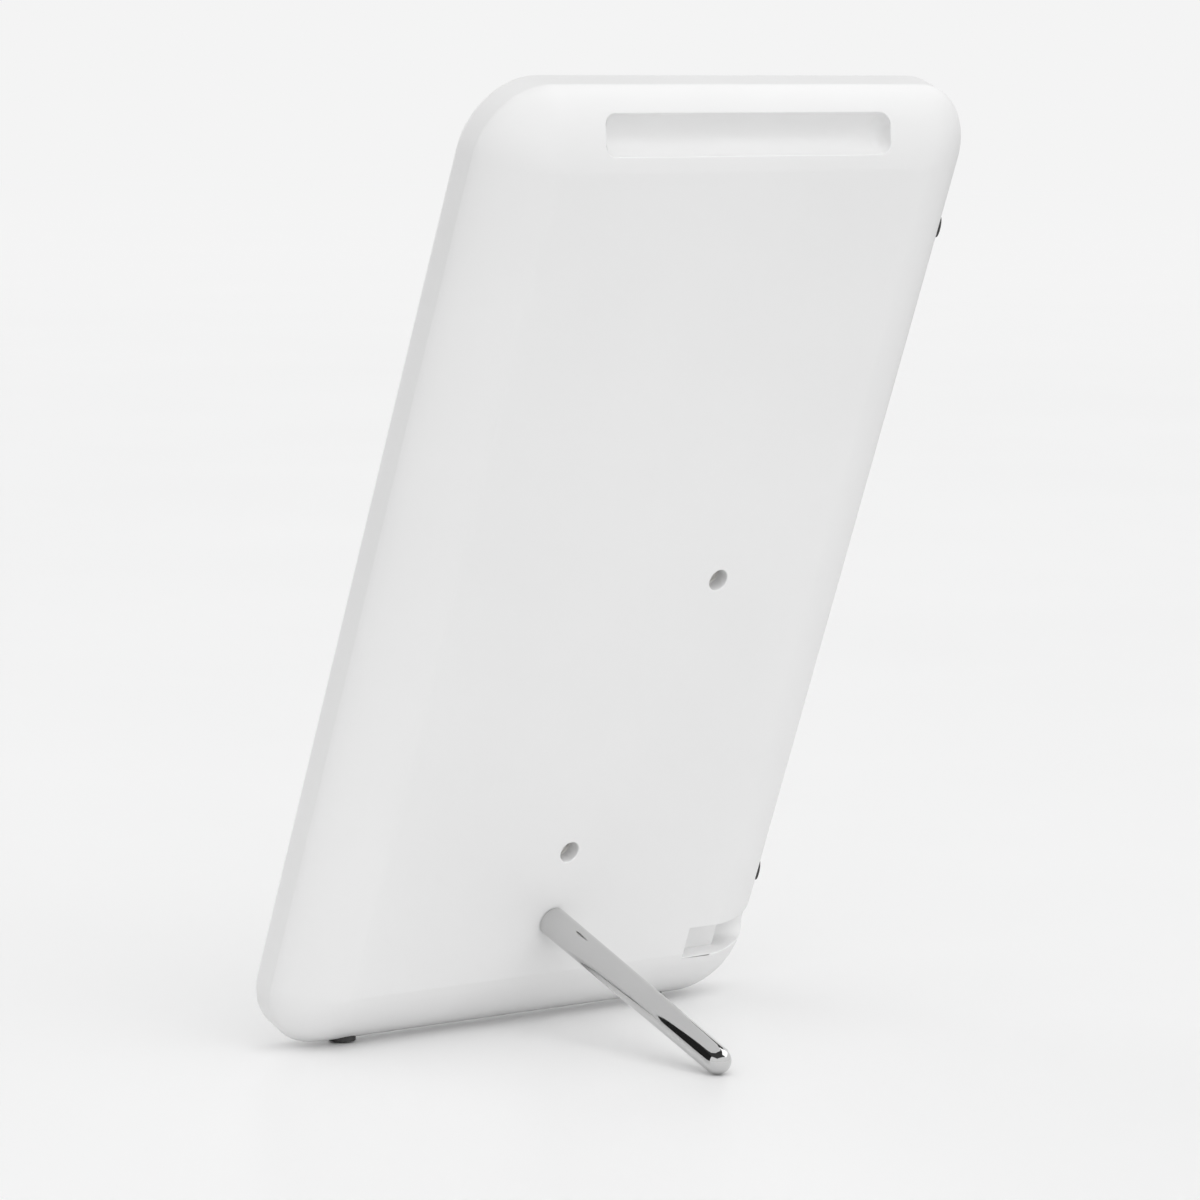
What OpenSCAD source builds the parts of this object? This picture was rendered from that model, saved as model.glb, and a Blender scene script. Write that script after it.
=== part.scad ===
// Tablet light therapy lamp, leaning back on one screw-in rod.
// Every piece is drawn with the lamp lying on its face, as seen from the back:
// x runs to the right, y from the bottom edge to the top edge, z from the front face to the back.
// on_stand() then stands the lamp up on its two bottom feet and the tip of the rod, on z = 0.

/* [Body] */
// Width of the lamp
body_w = 165; // [158:1:185]
// Length of the lamp, from the bottom edge to the top edge
body_h = 278.5; // [265:1:300]
// Thickness, from the front face to the back face
body_t = 19; // [18.8:0.1:23]
// Radius of the outline's corners, and how far in the back's edge starts to round off
corner_r = 20; // [16:1:24]
// Depth over which the back's edge rounds off
round_d = 11.8; // [9:0.2:12.4]
// Fullness of that round: 1 is a straight chamfer, 2 a true ellipse
fullness = 1.5; // [1.4:0.05:2]
// Wall of the moulded back
wall = 2.2; // [1.8:0.1:2.4]

/* [Front frame] */
// Thickness of the frame, and radius of its outer edge
bezel_t = 1.5; // [1.2:0.1:1.8]
// Frame beside the light window
border_side = 11; // [10:0.5:16]
// Frame above the light window
border_top = 12.5; // [12:0.5:18]
// Frame below the light window, which carries the button
border_bottom = 36; // [35:0.5:44]
// Corner radius of the light window
window_r = 6; // [3:0.5:9]
// Wall of the skirt that plugs into the back
skirt_t = 1.6; // [1.2:0.1:2]
// Height of the skirt
skirt_h = 4.4; // [4:0.1:5.4]
// Gap around pieces that are dropped into place
fit_gap = 0.15; // [0.1:0.05:0.25]
// Radius of the bead that snaps the skirt into the back
snap_r = 0.5; // [0.4:0.05:0.6]
// Length of each snap bead
snap_len = 14; // [8:1:18]

/* [Light unit] */
// How far the diffuser reaches behind the frame
lap = 3; // [2:0.5:4]
// Thickness of the opal diffuser
diffuser_t = 2; // [1.6:0.1:2.2]
// How far the diffuser's face lies behind the frame's face
face_in = 0.3; // [0:0.1:0.6]
// Thickness of the diffusing film
film_t = 0.3; // [0.2:0.05:0.4]
// Thickness of the light guide
guide_t = 3; // [2.6:0.1:3]
// Thickness of the reflector sheet
reflector_t = 0.25; // [0.2:0.05:0.4]
// Thickness of the aluminium tray behind it
tray_t = 1.2; // [0.8:0.1:1.2]
// Thickness of the strips' circuit boards
strip_t = 1; // [0.8:0.1:1.6]
// Number of light-emitting diodes on each strip
led_count = 24; // [12:1:32]
// Length of one diode
led_len = 3.5; // [2.8:0.1:4]
// How far a diode stands off its strip
led_t = 0.8; // [0.6:0.1:1]
// Air gap from the diodes to the light guide
led_gap = 0.3; // [0.2:0.1:0.6]

/* [Stand rod] */
// Length of the rod, from the back face to the centre of its round tip
rod_len = 76.2; // [70:0.2:84]
// Radius of the rod where it meets the back
rod_base_r = 4.2; // [3.8:0.1:4.6]
// Radius of the round tip
rod_tip_r = 3.7; // [3.2:0.1:3.8]
// Radius of the threaded stud
stud_r = 2.95; // [2.6:0.05:3]
// Length of the stud
stud_len = 8.6; // [7.6:0.1:8.6]
// Running gap around the stud
stud_gap = 0.05; // [0.03:0.01:0.08]
// Height of the socket that holds the rod in the photograph's pose
low_socket_y = 36.7; // [34:0.1:38]
// Height of the socket for a steeper lean
high_socket_y = 58.1; // [54:0.1:60]
// Distance of the landscape socket from the side that has feet
side_socket_in = 55.1; // [52:0.1:58]
// Length of each threaded bush
bush_len = 5; // [4:0.5:5]
// Wall of each bush
bush_wall = 1.2; // [0.9:0.1:1.5]

/* [Rod groove] */
// Length of the groove near the top edge
groove_len = 96.5; // [94:0.5:110]
// Radius of the corners at the groove's ends
groove_end_r = 3.3; // [2:0.1:4.5]
// Radius of the groove
groove_r = 5.5; // [5:0.1:5.8]
// Distance of the groove's centre line from the top edge
groove_down = 10.3; // [9.5:0.1:11]

/* [Power inlet] */
// Height of the inlet's centre line
inlet_y = 23.2; // [21:0.1:24.4]
// Width of the inlet recess
inlet_w = 9.7; // [9:0.1:10.2]
// Length of the recess, from the side of the lamp to its inner end
inlet_len = 30; // [29:0.5:33]
// Depth of the shallow end of the recess, over the socket
inlet_shallow = 4.9; // [4.6:0.1:5.2]
// Depth of the round channel that the plug lies in
inlet_deep = 11.6; // [11.4:0.1:12.2]
// Length of the power socket, and of the shallow end over it
jack_len = 14.4; // [12:0.1:15]
// Width of the power socket
jack_w = 6.5; // [6:0.1:8]
// Thickness of the power socket
jack_t = 5; // [4.6:0.1:5.4]
// Radius of the power socket's mouth
jack_bore_r = 1.85; // [1.7:0.05:2]
// Radius of its centre pin
jack_pin_r = 0.65; // [0.5:0.05:0.8]

/* [Button] */
// Height of the power button's centre
button_y = 17.5; // [16:0.5:20]
// Radius of the button
button_r = 6.5; // [5.5:0.1:7.5]
// Gap around the button
button_gap = 0.25; // [0.15:0.05:0.4]
// How far the button stands out of the frame
button_proud = 0.4; // [0.2:0.1:0.6]
// How far the button moves when it is pressed
button_travel = 0.6; // [0.4:0.1:0.8]

/* [Feet] */
// Radius of the two bottom feet
foot_r = 3.8; // [3.4:0.1:4.6]
// How far a bottom foot stands out of the back's rounded edge
foot_h = 0.8; // [0.6:0.1:1.4]
// Distance of each bottom foot from the middle
foot_x = 54; // [45:1:58]
// Radius of the two side feet
side_foot_r = 3; // [2.5:0.1:4]
// How far a side foot stands out
side_foot_h = 0.4; // [0.3:0.1:0.8]
// Height of the lower side foot's centre
low_side_foot_y = 38.2; // [34:0.2:48]
// Height of the upper side foot's centre
high_side_foot_y = 237.7; // [228:0.1:243]
// Radius of the feet's domed faces
dome_r = 30; // [20:1:40]
// How far the feet are let into the back
foot_sink = 1; // [0.6:0.1:1.2]

/* [Driver board] */
// Width of the driver board
board_w = 52; // [50:1:56]
// Height of the driver board
board_h = 34; // [32:1:40]
// Thickness of every circuit board but the strips
board_t = 1.6; // [1:0.1:1.6]
// Gap between the tray and the driver board, for the screw heads
board_gap = 2.2; // [2:0.1:2.4]
// Radius of the moulded posts that carry the boards and the tray
post_r = 2.4; // [2:0.1:3]
// Radius of the small screws' shanks
screw_r = 1; // [0.8:0.05:1.1]
// Radius of the leads
lead_r = 0.7; // [0.5:0.05:0.8]

/* [Hidden] */
$fn = 64;
EPS = 0.01;                             // overlap that joins two solids of one piece
CUT = 1;                                // how far a cutting tool runs past what it cuts

// Layers of the light unit, by depth from the front face.
film_z = bezel_t + diffuser_t;
guide_z = film_z + film_t;
reflector_z = guide_z + guide_t;
tray_z = reflector_z + reflector_t;
tray_back = tray_z + tray_t;
inner_back = body_t - wall;             // inside face of the back

// Light window and the panel behind it.
window_w = body_w - 2 * border_side;
window_h = body_h - border_top - border_bottom;
panel_w = window_w + 2 * lap;
panel_h = window_h + 2 * lap;
panel_y = border_bottom - lap;
strip_x = panel_w / 2 - tray_t;         // face of the tray's flange that carries a strip
led_x = strip_x - strip_t;              // face of the strip that carries the diodes
guide_w = 2 * (led_x - led_t - led_gap);
strip_end = 4;                          // bare tray beyond each end of a strip
strip_h = panel_h - 2 * strip_end;
led_depth = 2.2;                        // size of a diode across the guide's edge
led_pitch = strip_h / led_count;

// Rounded edge of the back.
shoulder = body_t - round_d;            // depth at which the side wall starts to round off
power = 2 / fullness;
round_steps = 20;
function edge_in(a) = corner_r * (1 - pow(cos(a), power));
function edge_z(a) = shoulder + round_d * pow(sin(a), power);
// Parameter of the round where its normal has turned by tilt from the side towards the back.
function edge_at(tilt) =
    atan(pow(corner_r * cos(tilt) / (round_d * sin(tilt)), -1 / (2 - power)));
// Radial section of the back's outer skin, shrunk by s on every side and open at depth z0.
function back_section(s, z0) = concat([[0, z0], [corner_r - s, z0]],
    [for (i = [0 : round_steps]) let (a = 90 * i / round_steps)
        [(corner_r - s) * pow(cos(a), power), shoulder + (round_d - s) * pow(sin(a), power)]]);

// Sockets of the stand rod.
socket_r = stud_r + stud_gap;           // thread of the bushes, and the hole over them
bush_r = socket_r + bush_wall;
plain_len = 4;                          // plain hole over each bush
stud_end_gap = 0.5;                     // room past the stud's end
socket_floor = body_t - stud_len - stud_end_gap;
boss_end = 1;                           // floor of each blind boss
boss_wall = 1.6;
boss_z = socket_floor - boss_end;
side_socket_x = body_w / 2 - side_socket_in;
SOCKETS = [[0, low_socket_y], [0, high_socket_y], [side_socket_x, body_h / 2]];
seat_gap = 0.05;                        // between the rod's shoulder and the back
tip_step = 0.15;                        // how much wider the taper's end is than the round tip
stud_bevel = 0.6;                       // lead-in at the stud's end

// Groove: its mouth lies on the rounded top edge.
groove_a = acos(pow(1 - groove_down / corner_r, 1 / power));
groove_y = body_h - groove_down;
groove_z = edge_z(groove_a);
groove_wall = 1.5;

// Power inlet: a shallow end over the socket, then a round channel for the plug.
inlet_x = body_w / 2 - inlet_len;       // inner end of the recess
jack_x = inlet_x + jack_len;            // face of the power socket
inlet_floor = body_t - inlet_shallow;
inlet_wall = 1.1;
jack_z = inlet_floor - inlet_wall - jack_t / 2;
jack_behind = 2;                        // how far the socket reaches past the recess's inner end
jack_back = inlet_x - jack_behind;
jack_hole = 9.5;                        // depth of the socket's mouth
jack_pin_len = 8.5;
channel_r = inlet_w / 2;
channel_z = body_t - inlet_deep + channel_r;
channel_low = inlet_y - channel_r;

// Snap beads, from mid height and from the middle.
snap_side_y = 42;
snap_end_x = 33;
snap_in = 1.4;                          // from the skirt's free edge to a bead's centre
snap_play = 0.1;                        // room around a bead in its groove
skirt_clear = 3;                        // gap in the skirt above and below the inlet

// Feet: each is square to the rounded edge where that faces the floor, in either pose.
foot_tilt = 21;
side_foot_tilt = 31.5;
foot_a = edge_at(foot_tilt);
foot_y = edge_in(foot_a);
foot_z = edge_z(foot_a);
side_foot_a = edge_at(side_foot_tilt);
side_foot_x = body_w / 2 - edge_in(side_foot_a);
side_foot_z = edge_z(side_foot_a);
foot_root = 5;                          // length of a foot's blank inside the back
dome_steps = 180;                       // $fn of the domes, which are small parts of large spheres

// Lean: the rod's tip and the domes of the bottom feet stand on one floor.
dome_back = dome_r - foot_h;            // from the rounded edge in to the dome's centre
dome_y = foot_y + dome_back * cos(foot_tilt);
dome_z = foot_z - dome_back * sin(foot_tilt);
tip_z = body_t + rod_len;
reach_z = tip_z - dome_z;
reach_y = low_socket_y - dome_y;
lean = acos((rod_tip_r - dome_r) / norm([reach_z, reach_y])) - atan2(reach_z, reach_y);
lift = dome_r - dome_y * cos(lean) + dome_z * sin(lean);
front_low = bezel_t * (sin(lean) + cos(lean) - 1);
back_far = max([for (i = [0 : round_steps]) let (a = 90 * i / round_steps)
    (body_h - edge_in(a)) * sin(lean) + edge_z(a) * cos(lean)]);
mid_depth = (front_low + back_far) / 2; // brings the origin under the middle of the lamp

// Button and its switch.
cap_flange = 1.6;                       // rim that keeps the button behind the frame
cap_flange_t = 1;
cap_play = 0.2;                         // from the frame to that rim
cap_back = bezel_t + cap_play + cap_flange_t;
dish_r = 30;                            // hollow of the button's face
dish_depth = 0.5;
stem_r = 2;
stem_z = 5;                             // end of the button's stem
plunger_r = 1.7;
plunger_gap = 0.2;
plunger_proud = button_travel + plunger_gap;
plunger_in = 0.6;                       // how far the plunger starts inside the switch
switch_w = 6.2;
switch_z = stem_z + plunger_proud;      // front face of the switch
switch_t = 3.4;
switch_board_w = 30;
switch_board_h = 12;
switch_board_z = switch_z + switch_t;
switch_screw_x = switch_board_w / 2 - 3.2;
switch_lead_x = switch_board_w / 2 - 6.5;
switch_lead_y = button_y + 3;

// Driver board.
board_x = body_w / 2 - 36.5;            // centre of the board
board_y = high_socket_y + 25;
board_z = tray_back + board_gap;
board_back = board_z + board_t;
post_in = 3.5;                          // posts and screws from the board's corners
BOARD_POSTS = [for (i = [-1, 1], j = [-1, 1])
    [board_x + i * (board_w / 2 - post_in), board_y + j * (board_h / 2 - post_in)]];
tray_post_in = 12;                      // posts from the sides of the tray
tray_post_end = 18;                     // and from its ends
TRAY_POSTS = [for (i = [-1, 1], t = [0, 0.5, 1])
    [i * (panel_w / 2 - tray_post_in),
        panel_y + tray_post_end + t * (panel_h - 2 * tray_post_end)]];
screw_head_r = 1.8;
screw_head_t = 1;
screw_len = 4;
capacitor_r = 3.1;
capacitor_gap = 0.5;                    // from the capacitors to the back
CAPACITORS = [[6, 7], [15, 7]];         // all places here are from the board's centre
inductor_size = [8, 8, 3.6];
inductor_at = [-8, 3];
chip_sizes = [[5, 4, 1.4], [4, 4.4, 1.4], [3, 5, 1.6]];
chip_places = [[-1, -4], [8, -4], [-18, 2]];

// Headers: the power and switch leads leave the board downwards, the strips' leads upwards.
header_size = [4.4, 6, 3.4];
header_in = 1;                          // from a header to the board's edge
header_reach = board_h / 2 - header_in;
power_header = [board_x + board_w / 2 - 12, board_y - header_reach];
switch_header = [board_x - board_w / 2 + 10, board_y - header_reach];
led_header = [board_x - 4, board_y + header_reach];
lead_z = board_back + header_size[2] / 2;
lead_bend = 2.4;                        // how far from a corner a lead starts to turn
lead_run = 6;                           // straight lead past a header or a socket
core_gap = 0.1;                         // from each core to the mid line of a pair
led_core_x = 1;                         // from the header's middle to each strip's lead
led_lead_in = 4;                        // from the panel's sides to each strip's lead

// ---- shapes ----

// Rounded rectangle, centred on x, with its lower edge at y = 0.
module outline(w, h, r) {
    translate([-w / 2, r]) square([w, h - 2 * r]);
    translate([-w / 2 + r, 0]) square([w - 2 * r, h]);
    for (x = [-1, 1], y = [r, h - r]) translate([x * (w / 2 - r), y]) circle(r);
}

// Slab whose edge has the given radial section all round, on corners of radius r.
module slab(w, h, r, section) {
    z0 = min([for (p = section) p.y]);
    z1 = max([for (p = section) p.y]);
    for (c = [[1, 1, 0], [-1, 1, 90], [-1, 0, 180], [1, 0, 270]])
        translate([c.x * (w / 2 - r), c.y * (h - 2 * r) + r, 0])
            rotate(c.z) rotate_extrude(angle = 90) polygon(section);
    for (m = [0, 1]) {
        mirror([m, 0, 0]) translate([w / 2 - r, h - r, 0])
            rotate([90, 0, 0]) linear_extrude(h - 2 * r) polygon(section);
        translate([0, m * h, 0]) mirror([0, m, 0]) translate([w / 2 - r, r, 0])
            rotate([90, 0, -90]) linear_extrude(w - 2 * r) polygon(section);
    }
    translate([-w / 2 + r, r, z0]) cube([w - 2 * r, h - 2 * r, z1 - z0]);
}

// The back's outer form, shrunk by s and standing on depth z0.
module back_form(s, z0) {
    translate([0, s, 0])
        slab(body_w - 2 * s, body_h - 2 * s, corner_r - s, back_section(s, z0));
}

module plate(w, h, y, z, t, r = 1) {
    translate([0, y, z]) linear_extrude(t) outline(w, h, r);
}

module post(p, r, z0, z1) {
    translate([p.x, p.y, z0]) cylinder(h = z1 - z0, r = r);
}

module centred_box(p, z, size) {
    translate([p.x - size.x / 2, p.y - size.y / 2, z]) cube(size);
}

function unit(v) = v / norm(v);

// Points of a lead's route, with each corner rounded from c before it to c after it.
function rounded_route(p, c) = [p[0],
    for (i = [1 : len(p) - 2]) let (a = unit(p[i - 1] - p[i]), b = unit(p[i + 1] - p[i]))
        each [for (t = [0 : 0.25 : 1]) p[i] + c * (a * pow(1 - t, 2) + b * t * t)],
    p[len(p) - 1]];

// Round lead swept along a route, as rings square to it.
module lead(points, sides = 8) {
    route = rounded_route(points, lead_bend);
    last = len(route) - 1;
    rings = [for (i = [0 : last])
        let (t = unit(route[min(i + 1, last)] - route[max(i - 1, 0)]),
            n = unit(cross(t, [0.3, 0.4, 0.9])), b = cross(t, n))
            each [for (k = [0 : sides - 1])
                route[i] + lead_r * (n * cos(360 * k / sides) + b * sin(360 * k / sides))]];
    walls = [for (i = [0 : last - 1], k = [0 : sides - 1])
        let (a = i * sides + k, b = i * sides + (k + 1) % sides)
            each [[a, b, b + sides], [a, b + sides, a + sides]]];
    caps = [for (k = [1 : sides - 2])
        each [[0, k + 1, k], [last * sides, last * sides + k, last * sides + k + 1]]];
    polyhedron(rings, concat(walls, caps));
}

module on_stand() {
    translate([0, -mid_depth, lift]) rotate([90 + lean, 0, 180]) children();
}

// ---- back ----

// Places a foot's axis: along +z out of the rounded bottom edge.
module at_bottom_foot(x) {
    translate([x, foot_y, foot_z]) rotate([90 - foot_tilt, 0, 0]) children();
}

module at_side_foot(y) {
    translate([side_foot_x, y, side_foot_z])
        rotate([0, 90 - side_foot_tilt, 0]) children();
}

// Foot before it is cut to the back: a round plug with a domed face.
module foot_blank(r, h) {
    intersection() {
        translate([0, 0, -foot_root]) cylinder(h = foot_root + h, r = r);
        translate([0, 0, h - dome_r]) sphere(dome_r, $fn = dome_steps);
    }
}

module cut_feet_to_back() {
    difference() {
        children();
        back_form(foot_sink, 0);
    }
}

// Round bar with rounded end corners that the groove is cut by, grown by s.
module groove_form(s) {
    r = groove_r + s;
    len = groove_len + 2 * s;
    translate([0, groove_y, groove_z]) rotate([0, 90, 0]) rotate_extrude() intersection() {
        translate([0, -len / 2]) outline(2 * r, len, groove_end_r + s);
        translate([0, -len / 2]) square([r, len]);
    }
}

// Recess of the power inlet, grown by s, with its round channel starting at x0.
module inlet_form(s, x0) {
    run = body_w / 2 + CUT - x0;
    translate([inlet_x - s, channel_low - s, inlet_floor - s])
        cube([inlet_len + s + CUT, inlet_w + 2 * s, inlet_shallow + s + CUT]);
    translate([x0, channel_low - s, channel_z])
        cube([run, inlet_w + 2 * s, body_t + CUT - channel_z]);
    translate([x0, inlet_y, channel_z]) rotate([0, 90, 0]) cylinder(h = run, r = channel_r + s);
}

module inner_structure() {
    for (p = SOCKETS) post(p, bush_r + boss_wall, boss_z, body_t);
    for (p = TRAY_POSTS) post(p, post_r, tray_back, body_t);
    for (p = BOARD_POSTS) post(p, post_r, board_back, body_t);
    for (i = [-1, 1])
        post([i * switch_screw_x, button_y], post_r, switch_board_z + board_t, body_t);
    groove_form(groove_wall);
    inlet_form(inlet_wall, jack_x - inlet_wall);
    jack_body(inlet_wall);
}

// Snap beads along all four sides, grown by s.
module snap_beads(s) {
    bead_z = bezel_t + skirt_h - snap_in;
    side = body_w / 2 - wall - fit_gap;
    half = snap_len / 2 + s;
    for (i = [-1, 1], j = [-1, 1])
        translate([i * side, body_h / 2 + j * snap_side_y - half, bead_z])
            rotate([-90, 0, 0]) cylinder(h = 2 * half, r = snap_r + s);
    for (i = [-1, 1], y = [wall + fit_gap, body_h - wall - fit_gap])
        translate([i * snap_end_x - half, y, bead_z])
            rotate([0, 90, 0]) cylinder(h = 2 * half, r = snap_r + s);
}

module rear_housing() color("white") difference() {
    union() {
        difference() {
            back_form(0, bezel_t);
            back_form(wall, bezel_t - CUT);
        }
        intersection() {
            back_form(0, bezel_t);
            inner_structure();
        }
    }
    for (p = SOCKETS) {
        post(p, bush_r, body_t - plain_len - bush_len, body_t - plain_len);
        post(p, socket_r, socket_floor, body_t + CUT);
    }
    for (p = BOARD_POSTS) post(p, screw_r, board_back - CUT, board_z + screw_len);
    for (i = [-1, 1])
        post([i * switch_screw_x, button_y], screw_r, switch_board_z, switch_board_z + screw_len);
    groove_form(0);
    inlet_form(0, jack_x);
    jack_body(fit_gap, jack_back - CUT);
    snap_beads(snap_play);
    bottom_feet();
    side_feet();
}

module stand_bushes() color("darkgoldenrod") for (p = SOCKETS)
    translate([p.x, p.y, body_t - plain_len - bush_len]) difference() {
        cylinder(h = bush_len, r = bush_r);
        translate([0, 0, -CUT]) cylinder(h = bush_len + 2 * CUT, r = socket_r);
    }

module bottom_feet() color("dimgray") cut_feet_to_back() for (i = [-1, 1])
    at_bottom_foot(i * foot_x) foot_blank(foot_r, foot_h);

module side_feet() color("dimgray") cut_feet_to_back()
    for (y = [low_side_foot_y, high_side_foot_y])
        at_side_foot(y) foot_blank(side_foot_r, side_foot_h);

module stand_rod() color("silver") translate([0, low_socket_y, body_t + seat_gap]) {
    chamfer = 0.3;
    tip = rod_len - seat_gap;           // centre of the round tip
    collar = tip_step + EPS;            // bevel that leads down to the round tip
    translate([0, 0, -stud_len]) rotate_extrude() polygon([[0, 0], [stud_r - stud_bevel, 0],
        [stud_r, stud_bevel], [stud_r, stud_len + chamfer], [0, stud_len + chamfer]]);
    rotate_extrude() polygon([[0, 0], [rod_base_r - chamfer, 0], [rod_base_r, chamfer],
        [rod_tip_r + tip_step, tip - collar], [rod_tip_r - EPS, tip], [0, tip]]);
    translate([0, 0, tip]) sphere(rod_tip_r);
}

// ---- front ----

module front_bezel() color("white") difference() {
    union() {
        slab(body_w, body_h, corner_r, concat([[0, bezel_t], [corner_r, bezel_t]],
            [for (a = [15 : 15 : 90]) [corner_r - bezel_t * (1 - cos(a)), bezel_t * (1 - sin(a))]],
            [[0, 0]]));
        intersection() {
            union() {
                skirt_ring();
                snap_beads(0);
            }
            back_form(wall - snap_r, 0);
        }
    }
    translate([0, border_bottom, -CUT])
        linear_extrude(bezel_t + 2 * CUT) outline(window_w, window_h, window_r);
    post([0, button_y], button_r + button_gap, -CUT, bezel_t + CUT);
    // the skirt is cut away beside the inlet, whose walls reach the side of the lamp above it
    translate([jack_x, channel_low - skirt_clear, bezel_t])
        cube([inlet_len, inlet_w + 2 * skirt_clear, skirt_h + CUT]);
}

module skirt_ring() {
    s = wall + fit_gap;
    translate([0, 0, bezel_t - EPS]) linear_extrude(skirt_h + EPS) difference() {
        translate([0, s]) outline(body_w - 2 * s, body_h - 2 * s, corner_r - s);
        translate([0, s + skirt_t]) outline(body_w - 2 * (s + skirt_t),
            body_h - 2 * (s + skirt_t), corner_r - s - skirt_t);
    }
}

module diffuser_panel() color("whitesmoke") {
    plate(panel_w, panel_h, panel_y, bezel_t, diffuser_t);
    plate(window_w - 2 * fit_gap, window_h - 2 * fit_gap, border_bottom + fit_gap, face_in,
        bezel_t - face_in + EPS, window_r - fit_gap);
}

module diffuser_film() color("ghostwhite") plate(panel_w, panel_h, panel_y, film_z, film_t);

module light_guide() color("azure") plate(guide_w, panel_h, panel_y, guide_z, guide_t);

module reflector_sheet() color("snow") plate(guide_w, panel_h, panel_y, reflector_z, reflector_t);

module heat_tray() color("lightgray") {
    translate([-panel_w / 2, panel_y, tray_z]) cube([panel_w, panel_h, tray_t]);
    for (m = [0, 1]) mirror([m, 0, 0])
        translate([strip_x, panel_y, guide_z]) cube([tray_t, panel_h, tray_back - guide_z]);
}

module led_strips() color("white") for (m = [0, 1]) mirror([m, 0, 0])
    translate([led_x, panel_y + strip_end, guide_z]) cube([strip_t, strip_h, guide_t + reflector_t]);

module led_chips() color("lightyellow") for (m = [0, 1], i = [0 : led_count - 1])
    mirror([m, 0, 0])
        translate([led_x - led_t, panel_y + strip_end + (i + 0.5) * led_pitch - led_len / 2,
            guide_z + (guide_t - led_depth) / 2])
            cube([led_t, led_len, led_depth]);

// ---- driver board ----

module driver_board() color("darkgreen") difference() {
    translate([board_x, board_y - board_h / 2, board_z])
        linear_extrude(board_t) outline(board_w, board_h, 1);
    for (p = BOARD_POSTS) post(p, screw_r, board_z - CUT, board_back + CUT);
}

module small_screws(places, z) {
    for (p = places) {
        post(p, screw_head_r, z - screw_head_t, z);
        post(p, screw_r, z - EPS, z + screw_len);
    }
}

module board_screws() color("silver") small_screws(BOARD_POSTS, board_z);

module smoothing_capacitors() color("silver") for (p = CAPACITORS)
    post([board_x, board_y] + p, capacitor_r, board_back, inner_back - capacitor_gap);

module driver_inductor() color("dimgray")
    centred_box([board_x, board_y] + inductor_at, board_back, inductor_size);

module driver_chips() color("black") for (i = [0 : len(chip_sizes) - 1])
    centred_box([board_x, board_y] + chip_places[i], board_back, chip_sizes[i]);

// Each header's open face, where its lead leaves, lies at the header's own place.
module lead_headers() color("ivory") {
    for (p = [power_header, switch_header])
        centred_box([p.x, p.y + header_size.y / 2], board_back, header_size);
    centred_box([led_header.x, led_header.y - header_size.y / 2], board_back, header_size);
}

// ---- power inlet ----

// The socket's box from x0 to its face, which is flush in the step of the recess, grown by s.
module jack_body(s, x0 = jack_back) {
    translate([x0, inlet_y - jack_w / 2 - s, jack_z - jack_t / 2 - s])
        cube([jack_x - x0, jack_w + 2 * s, jack_t + 2 * s]);
}

module dc_jack() color("black") difference() {
    jack_body(0);
    translate([jack_x - jack_hole, inlet_y, jack_z])
        rotate([0, 90, 0]) cylinder(h = jack_hole + CUT, r = jack_bore_r);
}

module jack_pin() color("silver") translate([jack_x - jack_hole, inlet_y, jack_z])
    rotate([0, 90, 0]) {
        cylinder(h = jack_pin_len - jack_pin_r / 2, r = jack_pin_r);
        translate([0, 0, jack_pin_len - jack_pin_r / 2]) sphere(jack_pin_r / 2);
    }

// ---- button ----

module power_button() color("white") translate([0, button_y, 0]) {
    difference() {
        translate([0, 0, -button_proud])
            cylinder(h = cap_back + button_proud, r = button_r);
        translate([0, 0, dish_depth - button_proud - dish_r]) sphere(dish_r);
    }
    translate([0, 0, bezel_t + cap_play]) cylinder(h = cap_flange_t, r = button_r + cap_flange);
    translate([0, 0, cap_back - EPS]) cylinder(h = stem_z - cap_back + EPS, r = stem_r);
}

module switch_plunger() color("black")
    post([0, button_y], plunger_r, stem_z, switch_z + plunger_in);

module switch_body() color("dimgray") difference() {
    centred_box([0, button_y], switch_z, [switch_w, switch_w, switch_t]);
    post([0, button_y], plunger_r + plunger_gap, switch_z - CUT,
        switch_z + plunger_in + plunger_proud);
}

module switch_board() color("darkgreen") difference() {
    centred_box([0, button_y], switch_board_z, [switch_board_w, switch_board_h, board_t]);
    for (i = [-1, 1])
        post([i * switch_screw_x, button_y], screw_r, switch_board_z - CUT, inner_back);
}

module switch_screws() color("silver")
    small_screws([for (i = [-1, 1]) [i * switch_screw_x, button_y]], switch_board_z);

// ---- leads ----

// Two cores, one over the other, from the socket to the driver board.
module power_lead() color("black") for (i = [-1, 1]) {
    up = i * (lead_r + core_gap);
    turn = [jack_back - lead_run, inlet_y];
    lead([[jack_back, inlet_y, jack_z + up], [turn.x, turn.y, jack_z + up],
        [turn.x, power_header.y - 2 * lead_run, lead_z + up],
        [power_header.x, power_header.y - lead_run, lead_z + up],
        [power_header.x, power_header.y, lead_z + up]]);
}

// One lead to each strip, round the top of the board and through the tray.
module led_leads() color("red") for (i = [-1, 1]) {
    x0 = led_header.x + i * led_core_x;
    x1 = i * (panel_w / 2 - led_lead_in);
    lead([[x0, led_header.y, lead_z], [x0, led_header.y + lead_run, lead_z],
        [x1, led_header.y + lead_run, lead_z], [x1, led_header.y + lead_run, tray_back]]);
}

module switch_lead() color("gray")
    lead([[switch_header.x, switch_header.y, lead_z],
        [switch_header.x, switch_header.y - lead_run, lead_z],
        [switch_lead_x, low_socket_y, lead_z],
        [switch_lead_x, switch_lead_y, lead_z],
        [switch_lead_x, switch_lead_y, switch_board_z + board_t]]);

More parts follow.
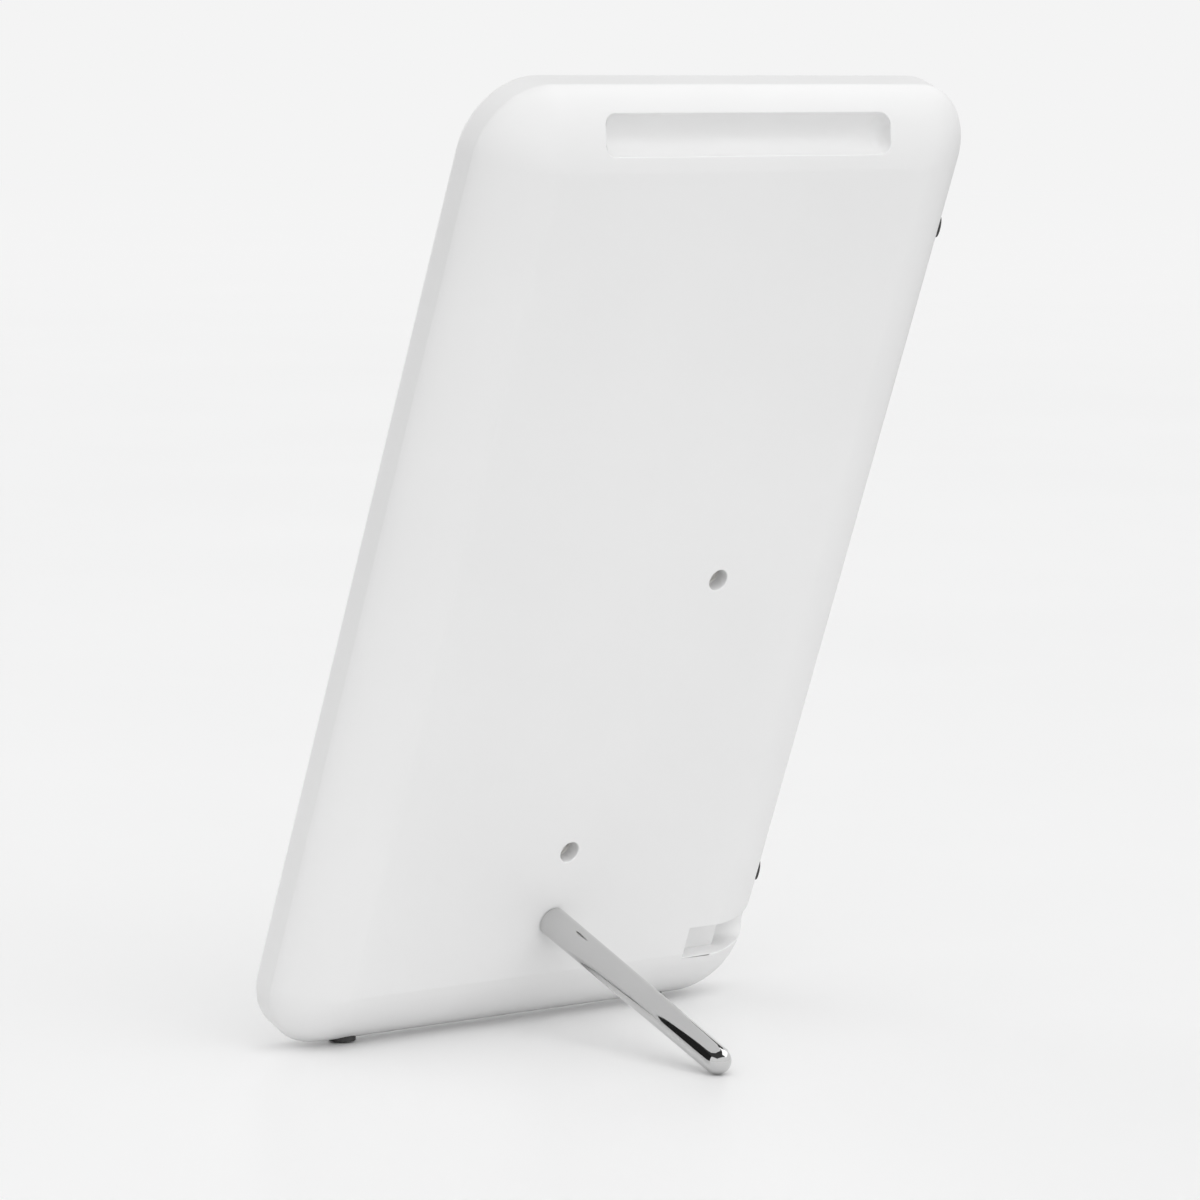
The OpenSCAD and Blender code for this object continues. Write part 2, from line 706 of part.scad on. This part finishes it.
on_stand() rear_housing();
on_stand() front_bezel();
on_stand() diffuser_panel();
on_stand() diffuser_film();
on_stand() light_guide();
on_stand() reflector_sheet();
on_stand() heat_tray();
on_stand() led_strips();
on_stand() led_chips();
on_stand() driver_board();
on_stand() board_screws();
on_stand() smoothing_capacitors();
on_stand() driver_inductor();
on_stand() driver_chips();
on_stand() lead_headers();
on_stand() dc_jack();
on_stand() jack_pin();
on_stand() power_lead();
on_stand() led_leads();
on_stand() switch_lead();
on_stand() power_button();
on_stand() switch_plunger();
on_stand() switch_body();
on_stand() switch_board();
on_stand() switch_screws();
on_stand() stand_bushes();
on_stand() stand_rod();
on_stand() bottom_feet();
on_stand() side_feet();
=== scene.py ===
"""Light therapy lamp on its screw-in rod, dressed for a studio picture. All lengths in metres."""
import math

import bmesh
import bpy
from mathutils import Matrix, Vector


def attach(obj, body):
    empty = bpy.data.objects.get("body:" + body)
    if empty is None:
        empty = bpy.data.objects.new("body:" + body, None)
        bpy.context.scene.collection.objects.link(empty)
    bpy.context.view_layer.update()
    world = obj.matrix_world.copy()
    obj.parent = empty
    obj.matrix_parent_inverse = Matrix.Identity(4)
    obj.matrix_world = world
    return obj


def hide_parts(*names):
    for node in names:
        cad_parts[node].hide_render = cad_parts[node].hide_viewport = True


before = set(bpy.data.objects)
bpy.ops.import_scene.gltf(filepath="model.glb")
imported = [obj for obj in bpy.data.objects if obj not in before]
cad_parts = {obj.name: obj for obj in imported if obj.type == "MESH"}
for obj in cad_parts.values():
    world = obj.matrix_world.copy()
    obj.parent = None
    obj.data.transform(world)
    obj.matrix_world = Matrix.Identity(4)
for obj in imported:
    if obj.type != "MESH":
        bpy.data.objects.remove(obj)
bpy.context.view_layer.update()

# ---- sizes shared with the solid model ----
# Pieces are placed with the lamp lying on its face, as in the solid model: x to the right seen
# from the back, y up the lamp and z from the front face to the back.
LEAN = math.radians(20.9383)            # how far the lamp leans back
FOOT_LIFT = 0.00344439                  # front bottom edge above the table
MID_DEPTH = 0.0557413                   # brings the origin under the middle of the lamp
BODY_W, BODY_H, BODY_T = 0.165, 0.2785, 0.019
CORNER_R = 0.020                        # corners of the outline, and reach of the rounded edge
ROUND_DEPTH = 0.0118                    # depth over which the back's edge rounds off
FULLNESS = 1.5                          # exponent of that round
SIDE_FEET = (0.0382, 0.2377)            # heights of the two side feet
INLET_RIM_Y = 0.01835                   # lower rim of the power inlet
SAME = 0.00001                          # two points this near have the same place
TOUCH = 0.00004                         # and a point this near a surface lies on it
ON_STAND = Matrix(((-1, 0, 0, 0),
                   (0, math.sin(LEAN), math.cos(LEAN), -MID_DEPTH),
                   (0, math.cos(LEAN), -math.sin(LEAN), FOOT_LIFT),
                   (0, 0, 0, 1)))
LYING = ON_STAND.inverted()


# ---- small helpers ----

MERGE = 0.000001                        # corners this near are joined
FLAT = math.radians(0.3)                # faces that turn by less than this are merged
CRISP = math.radians(30)                # edges that turn by more than this stay crisp
SHARP = math.radians(35)                # and edges that turn by more than this can be rounded


def only(piece):
    """Selects one piece and nothing else."""
    bpy.ops.object.select_all(action="DESELECT")
    piece.select_set(True)
    bpy.context.view_layer.objects.active = piece


def paint(piece, material):
    """Gives a piece one material."""
    piece.data.materials.clear()
    piece.data.materials.append(material)


def apply(piece, kind, **values):
    """Adds a modifier and applies it."""
    only(piece)
    modifier = piece.modifiers.new(kind.lower(), kind)
    for key, value in values.items():
        setattr(modifier, key, value)
    bpy.ops.object.modifier_apply(modifier=modifier.name)


def copy_of(node, name):
    """A copy of a solid-model piece whose loose triangles are merged into whole faces."""
    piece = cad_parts[node].copy()
    piece.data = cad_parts[node].data.copy()
    piece.name = name
    bpy.context.collection.objects.link(piece)
    only(piece)
    bpy.ops.object.mode_set(mode="EDIT")
    bpy.ops.mesh.select_all(action="SELECT")
    bpy.ops.mesh.remove_doubles(threshold=MERGE)
    bpy.ops.mesh.dissolve_limited(angle_limit=FLAT)
    bpy.ops.object.mode_set(mode="OBJECT")
    return piece


def select_edges(piece, chosen, sharper=0.0):
    """Opens a piece in edit mode with only those edges selected that turn by more than sharper
    and for which chosen(first end, second end) holds, both ends lying down."""
    only(piece)
    bpy.ops.object.mode_set(mode="EDIT")
    bpy.ops.mesh.select_mode(type="EDGE")
    bpy.ops.mesh.select_all(action="DESELECT")
    mesh = bmesh.from_edit_mesh(piece.data)
    for edge in mesh.edges:
        if edge.is_manifold and edge.calc_face_angle() > sharper:
            edge.select = chosen(*(LYING @ end.co for end in edge.verts))
    mesh.select_flush_mode()
    bmesh.update_edit_mesh(piece.data)


def merge_strips(piece, chosen):
    """Takes out the chosen facet lines, so that a rim beside them has room for its rounding."""
    select_edges(piece, chosen)
    bpy.ops.mesh.dissolve_edges(use_verts=False)
    bpy.ops.object.mode_set(mode="OBJECT")


def soften(piece, chosen, width, steps=4):
    """Rounds the chosen sharp edges."""
    select_edges(piece, chosen, SHARP)
    bpy.ops.mesh.bevel(offset=width, segments=steps, profile=0.5, affect="EDGES",
                       clamp_overlap=False)
    bpy.ops.object.mode_set(mode="OBJECT")


def smooth(piece):
    """Smooth shading that keeps flat faces flat and sharp edges crisp."""
    only(piece)
    bpy.ops.object.shade_smooth_by_angle(angle=CRISP)
    apply(piece, "WEIGHTED_NORMAL", keep_sharp=True, weight=80)


def fit(piece, body, slot, *nodes):
    """Puts a finished piece on its body in place of the solid-model pieces it stands for."""
    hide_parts(*nodes)
    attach(piece, body)


# ---- effects shared by several materials ----

FACTOR, COLOUR_A, COLOUR_B, COLOUR_OUT = 0, 6, 7, 2  # sockets of a mix node set to colours


def new_effect(name, inputs, outputs):
    """Starts a shader node group; inputs are (name, socket type, default) rows, and outputs
    (name, socket type) rows."""
    group = bpy.data.node_groups.new(name, "ShaderNodeTree")
    for label, kind, value in inputs:
        socket = group.interface.new_socket(name=label, in_out="INPUT", socket_type=kind)
        socket.default_value = value
    for label, kind in outputs:
        group.interface.new_socket(name=label, in_out="OUTPUT", socket_type=kind)
    entry = group.nodes.new("NodeGroupInput")
    exit_ = group.nodes.new("NodeGroupOutput")
    return group, entry, exit_


def add(nodes, kind, **values):
    """Adds a node and sets its properties and input sockets by name."""
    node = nodes.new(kind)
    for key, value in values.items():
        if key in node.bl_rna.properties:
            setattr(node, key, value)
        else:
            node.inputs[key.replace("_", " ")].default_value = value
    return node


def spread(group, entry, scale, stretch, detail):
    """Noise over the object, as wide as the socket named scale says; gives its value socket."""
    coords = group.nodes.new("ShaderNodeTexCoord")
    noise = add(group.nodes, "ShaderNodeTexNoise", Detail=detail, Roughness=0.55)
    source = coords.outputs["Object"]
    if stretch:
        mapping = add(group.nodes, "ShaderNodeMapping", Scale=stretch)
        group.links.new(source, mapping.inputs["Vector"])
        source = mapping.outputs["Vector"]
    group.links.new(source, noise.inputs["Vector"])
    group.links.new(entry.outputs[scale], noise.inputs["Scale"])
    return noise.outputs["Fac"]


def ranged(group, value, low, high):
    """Maps the middle of 0..1, where most noise lies, onto low..high, which are sockets."""
    node = add(group.nodes, "ShaderNodeMapRange", clamp=True, From_Min=0.3, From_Max=0.7)
    group.links.new(value, node.inputs["Value"])
    group.links.new(low, node.inputs["To Min"])
    group.links.new(high, node.inputs["To Max"])
    return node.outputs["Result"]


def mixed(group, factor, first, second):
    """Mixes two colour sockets."""
    node = group.nodes.new("ShaderNodeMix")
    node.data_type = "RGBA"
    group.links.new(factor, node.inputs[FACTOR])
    group.links.new(first, node.inputs[COLOUR_A])
    group.links.new(second, node.inputs[COLOUR_B])
    return node.outputs[COLOUR_OUT]


def surface_effect(name, stretch=None):
    """Slow change of colour, patches of duller and shinier surface, and a fine relief."""
    group, entry, exit_ = new_effect(name, [
        ("Colour", "NodeSocketColor", (0.8, 0.8, 0.8, 1)),
        ("Second colour", "NodeSocketColor", (0.75, 0.75, 0.75, 1)),
        ("Patch scale", "NodeSocketFloat", 20.0),
        ("Smooth", "NodeSocketFloat", 0.35),
        ("Rough", "NodeSocketFloat", 0.5),
        ("Wear scale", "NodeSocketFloat", 60.0),
        ("Grain scale", "NodeSocketFloat", 2500.0),
    ], [("Colour", "NodeSocketColor"), ("Roughness", "NodeSocketFloat"),
        ("Height", "NodeSocketFloat")])
    patches = add(group.nodes, "ShaderNodeMapRange", clamp=True, From_Min=0.35, From_Max=0.65)
    group.links.new(spread(group, entry, "Patch scale", stretch, 2.0), patches.inputs["Value"])
    group.links.new(mixed(group, patches.outputs["Result"], entry.outputs["Colour"],
                          entry.outputs["Second colour"]), exit_.inputs["Colour"])
    wear = spread(group, entry, "Wear scale", stretch, 5.0)
    group.links.new(ranged(group, wear, entry.outputs["Smooth"], entry.outputs["Rough"]),
                    exit_.inputs["Roughness"])
    group.links.new(spread(group, entry, "Grain scale", stretch, 2.0), exit_.inputs["Height"])
    return group


MOULDED = surface_effect("moulded_surface")
BRUSHED = surface_effect("brushed_surface", (1.0, 0.04, 1.0))


def finish(name, effect, colour, second, shiny, dull, patch=20.0, wear=60.0, grain=2500.0,
           relief=0.05, depth=0.00005, **shader):
    """Material whose colour, roughness and relief come from one of the shared effects. Its
    roughness runs from shiny to dull; patch, wear and grain are the scales of the three."""
    material = bpy.data.materials.new(name)
    material.use_nodes = True
    nodes, links = material.node_tree.nodes, material.node_tree.links
    principled = nodes["Principled BSDF"]
    group = nodes.new("ShaderNodeGroup")
    group.node_tree = effect
    for label, value in (("Colour", (*colour, 1)), ("Second colour", (*second, 1)),
                         ("Patch scale", patch), ("Smooth", shiny), ("Rough", dull),
                         ("Wear scale", wear), ("Grain scale", grain)):
        group.inputs[label].default_value = value
    links.new(group.outputs["Colour"], principled.inputs["Base Color"])
    links.new(group.outputs["Roughness"], principled.inputs["Roughness"])
    bump = add(nodes, "ShaderNodeBump", Strength=relief, Distance=depth)
    links.new(group.outputs["Height"], bump.inputs["Height"])
    links.new(bump.outputs["Normal"], principled.inputs["Normal"])
    for key, value in shader.items():
        principled.inputs[key.replace("_", " ")].default_value = value
    return material


def shade(value, tint=(1.0, 1.0, 1.0)):
    """A grey, slightly tinted if need be."""
    return tuple(value * t for t in tint)


WHITE_SHELL = finish("white_shell", MOULDED, shade(0.82), shade(0.80), 0.42, 0.50,
                     patch=9, wear=35, grain=1800, relief=0.10, depth=0.00003)
CHROME = finish("rod_chrome", MOULDED, shade(0.63), shade(0.60), 0.035, 0.06,
                patch=40, wear=120, grain=900, relief=0.02, depth=0.00001, Metallic=1.0)
RUBBER = finish("foot_rubber", MOULDED, shade(0.045), shade(0.06), 0.6, 0.8,
                patch=200, wear=400, grain=2500, relief=0.3, depth=0.00005)
LOOKS = {
    "rear_housing": WHITE_SHELL,
    "stand_rod": CHROME,
    "bottom_feet": RUBBER,
    "side_feet": RUBBER,
    "front_bezel": finish("white_frame", MOULDED, shade(0.84), shade(0.83), 0.40, 0.43,
                          patch=9, wear=35, grain=1800, relief=0.06, depth=0.00002),
    "diffuser_panel": finish("opal_acrylic", MOULDED, shade(0.86, (1, 1, 0.99)), shade(0.85),
                             0.12, 0.2, patch=12, wear=30, grain=900, relief=0.02,
                             depth=0.00001),
    "diffuser_film": finish("diffusing_film", MOULDED, shade(0.88), shade(0.85), 0.6, 0.7),
    "light_guide": finish("clear_acrylic", MOULDED, shade(0.9, (0.97, 1, 1)), shade(0.88),
                          0.05, 0.1, Transmission_Weight=0.6, IOR=1.49),
    "reflector_sheet": finish("reflector_white", MOULDED, shade(0.9), shade(0.88), 0.3, 0.4),
    "heat_tray": finish("tray_aluminium", BRUSHED, shade(0.72, (1, 1.01, 1.03)),
                        shade(0.66), 0.25, 0.38, Metallic=1.0),
    "led_strips": finish("strip_board", MOULDED, shade(0.85), shade(0.8), 0.35, 0.45),
    "led_chips": finish("led_package", MOULDED, (0.9, 0.8, 0.35), (0.86, 0.72, 0.3), 0.2,
                        0.3),
    "board_screws": finish("zinc_steel", BRUSHED, shade(0.65), shade(0.58), 0.25, 0.4,
                           Metallic=1.0),
    "smoothing_capacitors": finish("can_aluminium", BRUSHED, shade(0.76), shade(0.7), 0.2,
                                   0.3, Metallic=1.0),
    "driver_inductor": finish("ferrite", MOULDED, shade(0.06), shade(0.09), 0.6, 0.75),
    "driver_chips": finish("chip_black", MOULDED, shade(0.02), shade(0.03), 0.45, 0.6),
    "lead_headers": finish("header_nylon", MOULDED, (0.8, 0.77, 0.66), (0.76, 0.72, 0.6),
                           0.4, 0.5),
    "dc_jack": finish("socket_black", MOULDED, shade(0.02), shade(0.03), 0.35, 0.5),
    "jack_pin": finish("contact_plating", MOULDED, shade(0.75), shade(0.7), 0.1, 0.16,
                       Metallic=1.0),
    "power_lead": finish("lead_black", MOULDED, shade(0.02), shade(0.03), 0.4, 0.5),
    "led_leads": finish("lead_red", MOULDED, (0.4, 0.01, 0.01), (0.35, 0.01, 0.01), 0.4, 0.5),
    "switch_lead": finish("lead_grey", MOULDED, shade(0.2), shade(0.18), 0.4, 0.5),
    "power_button": finish("button_white", MOULDED, shade(0.80), shade(0.78), 0.35, 0.42),
    "switch_body": finish("switch_grey", MOULDED, shade(0.1), shade(0.12), 0.4, 0.5),
    "stand_bushes": finish("bush_nickel", MOULDED, (0.91, 0.90, 0.88), (0.87, 0.86, 0.84),
                           0.45, 0.6, Metallic=1.0),
}
LOOKS["driver_board"] = LOOKS["switch_board"] = finish(
    "green_board", MOULDED, (0.01, 0.09, 0.03), (0.015, 0.12, 0.045), 0.2, 0.3, patch=300)
LOOKS["switch_screws"] = LOOKS["board_screws"]
LOOKS["switch_plunger"] = LOOKS["dc_jack"]
for node, material in LOOKS.items():
    paint(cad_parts[node], material)


# ---- moulded back ----

ABOVE_SEAM = 0.0020                     # the back's seam with the frame lies nearer the front
BOTTOM_SEATS_Y = 0.010                  # the bottom feet's seats lie lower than this
SIDE_SEATS_X = 0.075                    # the side feet's seats lie further out than this
SEAT_REACH = 0.006                      # and no further than this from the feet's heights
RIM_ROUND = 0.00035                     # width of the rounding along the rims


def skin_depth(point):
    """Height of a lying point over the back's outer skin, negative inside it."""
    ex = abs(point.x) - (BODY_W / 2 - CORNER_R)
    ey = abs(point.y - BODY_H / 2) - (BODY_H / 2 - CORNER_R)
    reach = math.hypot(ex, ey) if ex > 0 and ey > 0 else max(ex, ey, 0)
    if reach >= CORNER_R:
        return CORNER_R - reach
    round_z = ROUND_DEPTH * (1 - (reach / CORNER_R) ** FULLNESS) ** (1 / FULLNESS)
    return point.z - (BODY_T - ROUND_DEPTH + round_z)


def on_rim(first, second):
    """True for an edge where the groove, a socket or the inlet opens through the skin."""
    for point in (first, second):
        if point.z < ABOVE_SEAM or abs(skin_depth(point)) > TOUCH:
            return False
    middle = (first + second) / 2
    to_foot = min(abs(middle.y - y) for y in SIDE_FEET)
    side_seat = middle.x > SIDE_SEATS_X and to_foot < SEAT_REACH
    return middle.y > BOTTOM_SEATS_Y and not side_seat


def beside_inlet(first, second):
    """True for the facet line of the lower edge that the rounding of the inlet's rim would
    run into."""
    level = abs(first.y - second.y) < SAME and abs(first.z - second.z) < SAME
    below = INLET_RIM_Y - first.y
    return level and 2 * SAME < below < RIM_ROUND and abs(skin_depth(first)) < TOUCH


moulded_back = copy_of("rear_housing", "moulded_back")
merge_strips(moulded_back, beside_inlet)
soften(moulded_back, on_rim, RIM_ROUND)
smooth(moulded_back)
fit(moulded_back, "lamp", "white_shell", "rear_housing")


# ---- front frame, diffuser and button ----

def at_front(depth):
    """Chooses the edges that lie no deeper behind the frame's face than depth."""
    return lambda first, second: max(first.z, second.z) < depth + 2 * SAME


for node, name, body, slot, face_depth, width in (
        ("front_bezel", "front_frame", "lamp", "white_frame", 0.0, 0.0003),
        ("diffuser_panel", "opal_diffuser", "lamp", "opal_acrylic", 0.0003, 0.0002),
        ("power_button", "button_cap", "button", "button_white", -0.0004, 0.0003)):
    front_piece = copy_of(node, name)
    soften(front_piece, at_front(face_depth), width)
    smooth(front_piece)
    fit(front_piece, body, slot, node)


# ---- rubber feet ----

FOOT_RIM = 0.00018                      # the rims of the feet stand out further than this
FOOT_ROUND = 0.00012                    # width of their rounding


def out_of_seat(seat, way):
    """Chooses the edges round the face of a foot that stands out of its seat along way."""
    return lambda *ends: all((end - seat).dot(way) >= FOOT_RIM for end in ends)


for node, seat, way in (("bottom_feet", (0, 0.00015, 0.0078), (0, -0.934, 0.358)),
                        ("side_feet", (0.0819, 0, 0.0087), (0.853, 0, 0.522))):
    rubber = copy_of(node, "rubber_" + node)
    soften(rubber, out_of_seat(Vector(seat), Vector(way)), FOOT_ROUND, steps=3)
    smooth(rubber)
    fit(rubber, "lamp", "foot_rubber", node)


# ---- screw threads ----

PITCH = 0.001                           # of the stud, and of the bushes that take it
FLANK, CREST = 2.6, 0.15                # steepness of the thread's flanks, and its flat crest
RUN_OUT = 0.0003                        # over which a thread fades at its ends
WALL_PAST = 0.0007                      # how far a threaded wall may reach past its thread
# radius of the wall, both ends of the thread, and its depth
STUD_R, STUD_FOOT, STUD_TOP, STUD_GROOVE = 0.00295, 0.0111, 0.01845, 0.0005
BORE_R, BORE_FOOT, BORE_TOP, BORE_GROOVE = 0.0030, 0.010, 0.015, 0.0004
SOCKET_PLACES = ((0.0, 0.0367), (0.0, 0.0581), (0.0274, BODY_H / 2))


def nearest_socket(point):
    """Axis of the socket nearest to a lying point."""
    return min(SOCKET_PLACES, key=lambda place: math.hypot(point.x - place[0],
                                                           point.y - place[1]))


def cut_thread(piece, radius, low, high, depth, rows):
    """Cuts a right-handed thread into a round wall, inwards by depth, or outwards if it is
    negative: the wall is divided into rows, and each of their corners moves along its radius."""
    def from_axis(point):
        x, y = nearest_socket(point)
        return math.hypot(point.x - x, point.y - y)

    def along_wall(first, second):
        return (abs(from_axis(first) - radius) < TOUCH
                and math.hypot(second.x - first.x, second.y - first.y) < SAME
                and min(first.z, second.z) > low - WALL_PAST
                and max(first.z, second.z) < high + WALL_PAST)

    select_edges(piece, along_wall)
    bpy.ops.mesh.subdivide(number_cuts=rows)
    bpy.ops.object.mode_set(mode="OBJECT")
    for vertex in piece.data.vertices:
        point = LYING @ vertex.co
        if abs(from_axis(point) - radius) > TOUCH or not low < point.z < high:
            continue
        x, y = nearest_socket(point)
        turn = math.atan2(point.y - y, point.x - x) / math.tau
        phase = (point.z / PITCH - turn) % 1.0
        groove = min(1.0, max(0.0, abs(phase - 0.5) * FLANK - CREST))
        fade = min(1.0, (point.z - low) / RUN_OUT, (high - point.z) / RUN_OUT)
        scale = 1 - depth * groove * fade / radius
        point.x, point.y = x + (point.x - x) * scale, y + (point.y - y) * scale
        vertex.co = ON_STAND @ point


plated_rod = copy_of("stand_rod", "plated_rod")
cut_thread(plated_rod, STUD_R, STUD_FOOT, STUD_TOP, STUD_GROOVE, rows=70)
smooth(plated_rod)
fit(plated_rod, "stand_rod", "rod_chrome", "stand_rod")

threaded_bushes = copy_of("stand_bushes", "threaded_bushes")
cut_thread(threaded_bushes, BORE_R, BORE_FOOT, BORE_TOP, -BORE_GROOVE, rows=40)
smooth(threaded_bushes)
fit(threaded_bushes, "lamp", "bush_nickel", "stand_bushes")


# ---- studio ----

TABLE_R, TABLE_Z = 30, -0.0001          # a hair under the feet
FLOOR_TONE = 0.915
FAR_TONE = 0.25                         # of the duller room that the lamp sees past the table
NEAR_ROOM, FAR_ROOM = 0.7, 1.3          # from here to here, the table turns into that room
NEAR_FADE, FAR_FADE = 1.2, 7.0          # and here, for the camera, into the backdrop
BACKGROUND = 0.905
LOW_SKY, HIGH_SKY = 0.58, 0.74


def floor_material():
    """Pale table top with a faint sheen; past the table, the lamp sees a duller room."""
    material = finish("pale_table", MOULDED, shade(FLOOR_TONE), shade(FLOOR_TONE - 0.004),
                      0.30, 0.38, patch=1.5, wear=4, grain=300, relief=0.01, depth=0.0001,
                      Specular_IOR_Level=0.25)
    nodes, links = material.node_tree.nodes, material.node_tree.links
    principled = nodes["Principled BSDF"]
    coords = nodes.new("ShaderNodeTexCoord")
    length = add(nodes, "ShaderNodeVectorMath", operation="LENGTH")
    links.new(coords.outputs["Object"], length.inputs[0])
    far = add(nodes, "ShaderNodeMapRange", interpolation_type="SMOOTHSTEP",
              From_Min=NEAR_ROOM, From_Max=FAR_ROOM)
    links.new(length.outputs["Value"], far.inputs["Value"])
    path = nodes.new("ShaderNodeLightPath")
    unseen = add(nodes, "ShaderNodeMath", operation="SUBTRACT")
    unseen.inputs[0].default_value = 1.0
    links.new(path.outputs["Is Camera Ray"], unseen.inputs[1])
    both = add(nodes, "ShaderNodeMath", operation="MULTIPLY")
    links.new(far.outputs["Result"], both.inputs[0])
    links.new(unseen.outputs[0], both.inputs[1])
    tone = nodes.new("ShaderNodeMix")
    tone.data_type = "RGBA"
    links.new(both.outputs[0], tone.inputs[FACTOR])
    links.new(principled.inputs["Base Color"].links[0].from_socket, tone.inputs[COLOUR_A])
    tone.inputs[COLOUR_B].default_value = (*shade(FAR_TONE), 1)
    links.new(tone.outputs[COLOUR_OUT], principled.inputs["Base Color"])
    # the table fades into the backdrop behind it, so that no horizon shows
    away = add(nodes, "ShaderNodeMapRange", interpolation_type="SMOOTHSTEP",
               From_Min=NEAR_FADE, From_Max=FAR_FADE)
    links.new(length.outputs["Value"], away.inputs["Value"])
    shown = add(nodes, "ShaderNodeMath", operation="MULTIPLY")
    links.new(away.outputs["Result"], shown.inputs[0])
    links.new(path.outputs["Is Camera Ray"], shown.inputs[1])
    backdrop = add(nodes, "ShaderNodeEmission", Color=(BACKGROUND,) * 3 + (1,), Strength=1.0)
    blend = nodes.new("ShaderNodeMixShader")
    links.new(shown.outputs[0], blend.inputs[0])
    links.new(principled.outputs[0], blend.inputs[1])
    links.new(backdrop.outputs[0], blend.inputs[2])
    links.new(blend.outputs[0], nodes["Material Output"].inputs["Surface"])
    return material


bpy.ops.object.select_all(action="DESELECT")
bpy.ops.mesh.primitive_circle_add(vertices=96, radius=TABLE_R, fill_type="NGON",
                                  location=(0, 0, TABLE_Z))
table = bpy.context.object
table.name = "table_top"
paint(table, floor_material())

world = bpy.data.worlds.new("studio")
bpy.context.scene.world = world
world.use_nodes = True
w_nodes, w_links = world.node_tree.nodes, world.node_tree.links
w_nodes.clear()
# the camera, mirrors and clear pieces see the backdrop, and everything else is lit by the sky
light_path = w_nodes.new("ShaderNodeLightPath")
seen = light_path.outputs["Is Camera Ray"]
for ray in ("Is Glossy Ray", "Is Transmission Ray"):
    either = add(w_nodes, "ShaderNodeMath", operation="MAXIMUM")
    w_links.new(seen, either.inputs[0])
    w_links.new(light_path.outputs[ray], either.inputs[1])
    seen = either.outputs[0]
backdrop = add(w_nodes, "ShaderNodeBackground", Color=(BACKGROUND,) * 3 + (1,), Strength=1.0)
# the studio's light: softer near the horizon, stronger from above
direction = w_nodes.new("ShaderNodeTexCoord")
parts = w_nodes.new("ShaderNodeSeparateXYZ")
w_links.new(direction.outputs["Generated"], parts.inputs[0])
height = add(w_nodes, "ShaderNodeMapRange", interpolation_type="SMOOTHSTEP",
             From_Min=0.0, From_Max=0.6, To_Min=LOW_SKY, To_Max=HIGH_SKY)
w_links.new(parts.outputs["Z"], height.inputs["Value"])
sky = add(w_nodes, "ShaderNodeBackground", Color=(1, 1, 1, 1))
w_links.new(height.outputs["Result"], sky.inputs["Strength"])
mix = w_nodes.new("ShaderNodeMixShader")
w_links.new(seen, mix.inputs[0])
w_links.new(sky.outputs[0], mix.inputs[1])
w_links.new(backdrop.outputs[0], mix.inputs[2])
w_out = w_nodes.new("ShaderNodeOutputWorld")
w_links.new(mix.outputs[0], w_out.inputs["Surface"])


def softbox(name, kind, place, way, energy):
    """Adds a light that shines along way."""
    bpy.ops.object.light_add(type=kind, location=place)
    light = bpy.context.object
    light.name = name
    light.data.energy = energy
    light.rotation_euler = Vector(way).to_track_quat("-Z", "Y").to_euler()
    return light


key = softbox("overhead_softbox", "SUN", (-0.5, 1.0, 2.0), (-0.25, -0.65, -1.0),
              energy=1.02)
key.data.angle = math.radians(60)

fill = softbox("low_softbox", "AREA", (0.2, 2.2, 0.35), (-0.2, -2.2, -0.25), energy=9)
fill.data.shape = "RECTANGLE"
fill.data.size, fill.data.size_y = 2.4, 0.6
fill.visible_camera = fill.visible_glossy = False

front = softbox("front_softbox", "SUN", (1.2, -1.6, 0.7), (-0.35, 0.93, -0.2), energy=0.5)
front.data.angle = math.radians(40)


def reflector(name, place, width, height, tone):
    """A plain card that only polished surfaces see, turned to the lamp."""
    bpy.ops.object.select_all(action="DESELECT")
    bpy.ops.mesh.primitive_plane_add(size=1, location=place)
    card = bpy.context.object
    card.name = name
    card.scale = (width, height, 1)
    card.rotation_euler = (-Vector(place)).to_track_quat("Z", "Y").to_euler()
    material = bpy.data.materials.new(name + "_cloth")
    material.use_nodes = True
    nodes, links = material.node_tree.nodes, material.node_tree.links
    nodes.clear()
    glow = add(nodes, "ShaderNodeEmission", Color=(tone, tone, tone, 1), Strength=1.0)
    out = nodes.new("ShaderNodeOutputMaterial")
    links.new(glow.outputs[0], out.inputs["Surface"])
    paint(card, material)
    card.visible_camera = card.visible_diffuse = card.visible_shadow = False


reflector("dark_wall", (3.0, -3.0, 1.5), width=4.5, height=3.4, tone=0.02)
reflector("dark_ceiling", (0.0, 0.0, 3.0), width=9.0, height=9.0, tone=0.06)
reflector("right_card", (-2.05, 0.7, 2.05), width=3.4, height=2.0, tone=1.8)


def leave_out(light, piece):
    """Keeps a light off one piece."""
    left_out = bpy.data.collections.new(light.name + "_keeps_off")
    left_out.objects.link(piece)
    left_out.collection_objects[0].light_linking.link_state = "EXCLUDE"
    light.light_linking.receiver_collection = left_out


# the plated rod mirrors the cards, not the lights, and the low light burns no patch on the table
leave_out(key, plated_rod)
leave_out(front, plated_rod)
leave_out(fill, table)


# ---- camera ----

CAMERA_AT = (0.8624, 1.06156, 0.27804)
CAMERA_TURN = (83.4269, -0.6053, 140.9829)  # degrees
SENSOR, LENS = 36, 153.484              # millimetres
SHIFT = (-0.00999, 0.00475)

bpy.ops.object.camera_add(location=CAMERA_AT,
                          rotation=[math.radians(a) for a in CAMERA_TURN])
camera = bpy.context.object
camera.name = "studio_camera"
camera.data.sensor_width, camera.data.lens = SENSOR, LENS
camera.data.shift_x, camera.data.shift_y = SHIFT
camera.data.clip_end = 100
bpy.context.scene.camera = camera
bpy.context.scene.view_settings.view_transform = "Standard"
